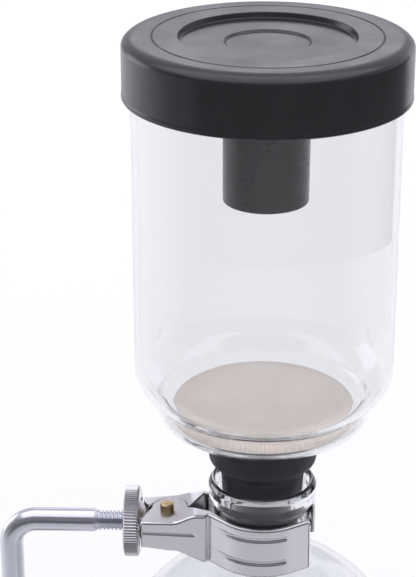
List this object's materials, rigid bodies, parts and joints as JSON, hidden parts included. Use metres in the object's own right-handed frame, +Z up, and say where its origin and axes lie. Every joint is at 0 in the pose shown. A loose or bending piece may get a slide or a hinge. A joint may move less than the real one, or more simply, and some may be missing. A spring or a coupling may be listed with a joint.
{
  "type": "siphon coffee maker",
  "caption": "Vacuum siphon coffee maker: lidded glass upper chamber on a round flask held by a screw clamp, with a rod stand, grip, base plate and spirit burner.",
  "frame": {"origin": "on the table surface under the flask's axis", "axes": "+Z up along the flask's axis; the stand's arm and handle lie along -X; -Y is the front, the side with the clamp's outer jaw"},
  "size_m": [0.176, 0.1138, 0.378],
  "materials": {
    "lid_plastic": "moulded black plastic, satin gloss",
    "glass": "clear blown borosilicate glass",
    "stopper_rubber": "matte blue-black rubber",
    "plated_steel": "polished plating",
    "bright_steel": "bright stainless steel",
    "pin_brass": "turned brass, lightly dulled",
    "filter_flannel": "woven cotton flannel",
    "cotton_cord": "twisted cotton",
    "handle_plastic": "moulded black plastic, fine texture",
    "pad_rubber": "matte non-slip rubber"
  },
  "bodies": {
    "stand": {"support_rod": "plated_steel", "rod_washer": "bright_steel", "rod_nut": "bright_steel", "base_plate": "plated_steel", "base_pad": "pad_rubber", "handle_grip": "handle_plastic", "handle_set_screw": "bright_steel", "pivot_pin": "pin_brass", "flask_glass": "glass"},
    "upper_chamber": {"upper_chamber_glass": "glass", "stem_stopper": "stopper_rubber", "filter_ball_chain": "bright_steel", "chain_hook": "bright_steel", "filter_spring": "bright_steel"},
    "filter": {"filter_disc": "bright_steel", "filter_cloth": "filter_flannel", "filter_drawstring": "cotton_cord", "filter_spring_seat": "bright_steel"},
    "lid": {"lid_cap": "lid_plastic"},
    "cone": {"wedge_cone": "bright_steel"},
    "nut": {"thumb_nut": "plated_steel"},
    "front_clamp": {"front_jaw": "plated_steel"},
    "rear_clamp": {"rear_jaw": "plated_steel"},
    "burner": {"burner_glass": "glass", "burner_seal": "stopper_rubber", "burner_collar": "plated_steel", "wick_tube": "bright_steel", "burner_wick": "cotton_cord"},
    "snuffer": {"snuffer_cap": "plated_steel"}
  },
  "joints": [
    {"name": "upper_chamber_lift", "type": "slide", "parent": "stand", "child": "upper_chamber", "axis": [0, 0, 1], "range_m": [0, 0.14]},
    {"name": "lid_lift", "type": "slide", "parent": "upper_chamber", "child": "lid", "axis": [0, 0, 1], "range_m": [0, 0.065]},
    {"name": "filter_lift", "type": "slide", "parent": "upper_chamber", "child": "filter", "axis": [0, 0, 1], "range_m": [0, 0.01], "stiffness_N_per_m": 150, "springref_m": -0.004, "deforming": ["filter_spring"]},
    {"name": "nut_travel", "type": "slide", "parent": "stand", "child": "cone", "axis": [-1, 0, 0], "range_m": [0, 0.0036]},
    {"name": "nut_turn", "type": "hinge", "parent": "cone", "child": "nut", "pos_m": [-0.0476, 0, 0.1974], "axis": [-1, 0, 0], "range_deg": [0, 900]},
    {"name": "front_jaw_open", "type": "hinge", "parent": "stand", "child": "front_clamp", "pos_m": [-0.0342, 0, 0.1974], "axis": [0, 0, -1], "range_deg": [0, 16.5]},
    {"name": "rear_jaw_open", "type": "hinge", "parent": "stand", "child": "rear_clamp", "pos_m": [-0.0342, 0, 0.1974], "axis": [0, 0, 1], "range_deg": [0, 16.5]},
    {"name": "burner_slide", "type": "slide", "parent": "stand", "child": "burner", "axis": [0, -1, 0], "range_m": [0, 0.12]},
    {"name": "snuffer_lift", "type": "slide", "parent": "burner", "child": "snuffer", "axis": [0, 0, 1], "range_m": [0, 0.0105]}
  ],
  "couplings": [
    {"joint": "nut_travel", "follows": "nut_turn", "m_per_rad": 0.00022282},
    {"joint": "front_jaw_open", "follows": "nut_turn", "ratio": 0.017778},
    {"joint": "rear_jaw_open", "follows": "nut_turn", "ratio": 0.017778}
  ]
}
